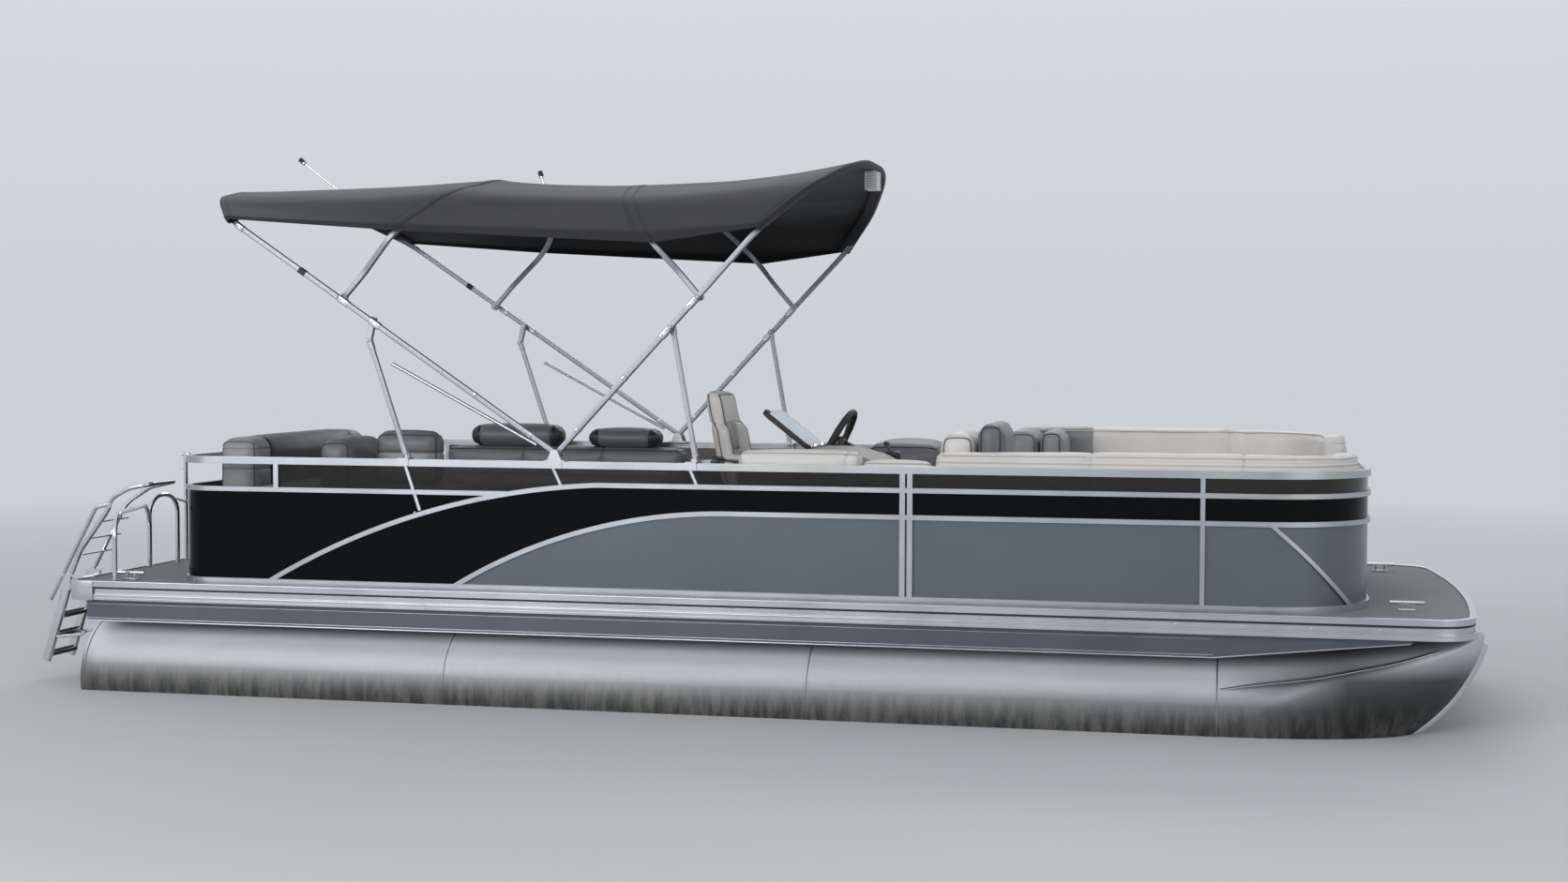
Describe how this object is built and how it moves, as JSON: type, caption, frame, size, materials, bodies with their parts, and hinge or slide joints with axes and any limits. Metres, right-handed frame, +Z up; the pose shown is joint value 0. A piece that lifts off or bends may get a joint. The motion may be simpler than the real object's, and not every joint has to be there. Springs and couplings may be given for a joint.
{
  "type": "pontoon boat",
  "caption": "Twin-tube pontoon boat with a fenced deck, cushioned lounges, a helm, a stern ladder and a folding fabric canopy on hinged bows.",
  "frame": {"origin": "under the middle of the whole boat, on the level that its keel bars stand on", "axes": "+X to the bow, +Y to port, +Z up"},
  "size_m": [7.5599, 2.59, 3.2364],
  "materials": {
    "hull_aluminium": "brushed, dulled low down",
    "trim_aluminium": "bright anodised",
    "stainless": "polished",
    "deck_vinyl": "woven floor covering",
    "grey_sheet": "semi-gloss",
    "black_sheet": "gloss",
    "smoked_sheet": "smoked, clear",
    "canvas": "woven, taut",
    "light_vinyl": "soft vinyl",
    "grey_vinyl": "soft vinyl",
    "moulded_base": "moulded",
    "black_fittings": "satin",
    "clear_screen": "clear"
  },
  "bodies": {
    "hull": {"pontoon_starboard": "hull_aluminium", "pontoon_port": "hull_aluminium", "motor_pod": "hull_aluminium", "cross_members": "hull_aluminium", "rub_rail": "trim_aluminium", "skirts": "trim_aluminium", "fence_frame_starboard": "trim_aluminium", "fence_frame_port": "trim_aluminium", "aft_main_bow": "trim_aluminium", "aft_struts": "trim_aluminium", "stowed_braces": "trim_aluminium", "bimini_mounts": "trim_aluminium", "stern_hoops": "stainless", "ladder_rails": "stainless", "light_pole": "stainless", "cleats": "stainless", "deck": "deck_vinyl", "grey_panels": "grey_sheet", "black_panels": "black_sheet", "smoked_panels": "smoked_sheet", "canopy": "canvas", "bow_cushions_starboard": "light_vinyl", "bow_cushions_port": "light_vinyl", "stern_cushions": "light_vinyl", "side_cushions_starboard": "light_vinyl", "console_pads": "light_vinyl", "couch_cushions_port": "grey_vinyl", "single_cushion_port": "grey_vinyl", "bow_base_starboard": "moulded_base", "bow_base_port": "moulded_base", "couch_base_port": "moulded_base", "single_base_port": "moulded_base", "stern_base": "moulded_base", "side_base_starboard": "moulded_base", "console": "moulded_base", "chair_pedestal": "moulded_base", "steering_column": "black_fittings", "throttle": "black_fittings", "aft_top_rod": "black_fittings", "windscreen": "clear_screen"},
    "bow_gate": {"bow_gate_frame": "trim_aluminium", "bow_gate_panel": "black_sheet"},
    "stern_gate": {"stern_gate_frame": "trim_aluminium", "stern_gate_panel": "black_sheet"},
    "ladder": {"boarding_ladder": "stainless"},
    "wheel": {"steering_wheel": "black_fittings"},
    "chair": {"chair_shell": "moulded_base", "chair_cushions": "light_vinyl"},
    "fore_bow": {"fore_main_bow": "trim_aluminium", "canopy_light": "black_fittings"},
    "fore_inner": {"fore_inner_bow": "trim_aluminium"},
    "aft_inner": {"aft_inner_bow": "trim_aluminium", "fore_top_rod": "black_fittings"},
    "fore_strut_pair": {"fore_struts": "trim_aluminium"}
  },
  "joints": [
    {"name": "bow_gate_swing", "type": "hinge", "parent": "hull", "child": "bow_gate", "pos_m": [3.206, 0.325, 1.216], "axis": [0, 0, -1], "range_deg": [0, 90]},
    {"name": "stern_gate_swing", "type": "hinge", "parent": "hull", "child": "stern_gate", "pos_m": [-2.866, 1.01, 1.216], "axis": [0, 0, 1], "range_deg": [0, 90]},
    {"name": "ladder_fold", "type": "hinge", "parent": "hull", "child": "ladder", "pos_m": [-3.622, -0.935, 0.826], "axis": [0, 1, 0], "range_deg": [0, 160]},
    {"name": "wheel_turn", "type": "hinge", "parent": "hull", "child": "wheel", "pos_m": [0.495, -0.25, 1.611], "axis": [0.8829, 0, -0.4695], "range_deg": [-540, 540]},
    {"name": "chair_swivel", "type": "hinge", "parent": "hull", "child": "chair", "pos_m": [0.03, -0.25, 1.206], "axis": [0, 0, 1], "continuous": true},
    {"name": "bimini_fold", "type": "hinge", "parent": "hull", "child": "fore_bow", "pos_m": [-0.78, 0, 1.583], "axis": [0, -1, 0], "range_deg": [0, 89], "deforming": ["canopy"]},
    {"name": "fore_inner_fold", "type": "hinge", "parent": "fore_bow", "child": "fore_inner", "pos_m": [-0.04276, 0, 2.37359], "axis": [0, 1, 0], "range_deg": [0, 79]},
    {"name": "fore_strut_fold", "type": "hinge", "parent": "fore_bow", "child": "fore_strut_pair", "pos_m": [-0.18325, 0, 2.22293], "axis": [0, 1, 0], "range_deg": [0, 51]},
    {"name": "aft_inner_fold", "type": "hinge", "parent": "hull", "child": "aft_inner", "pos_m": [-1.96277, 0, 2.37779], "axis": [0, -1, 0], "range_deg": [0, 93.5]}
  ],
  "couplings": [
    {"joint": "fore_inner_fold", "follows": "bimini_fold", "ratio": 0.8843},
    {"joint": "fore_strut_fold", "follows": "bimini_fold", "ratio": 0.5618},
    {"joint": "aft_inner_fold", "follows": "bimini_fold", "ratio": 1.0438}
  ]
}
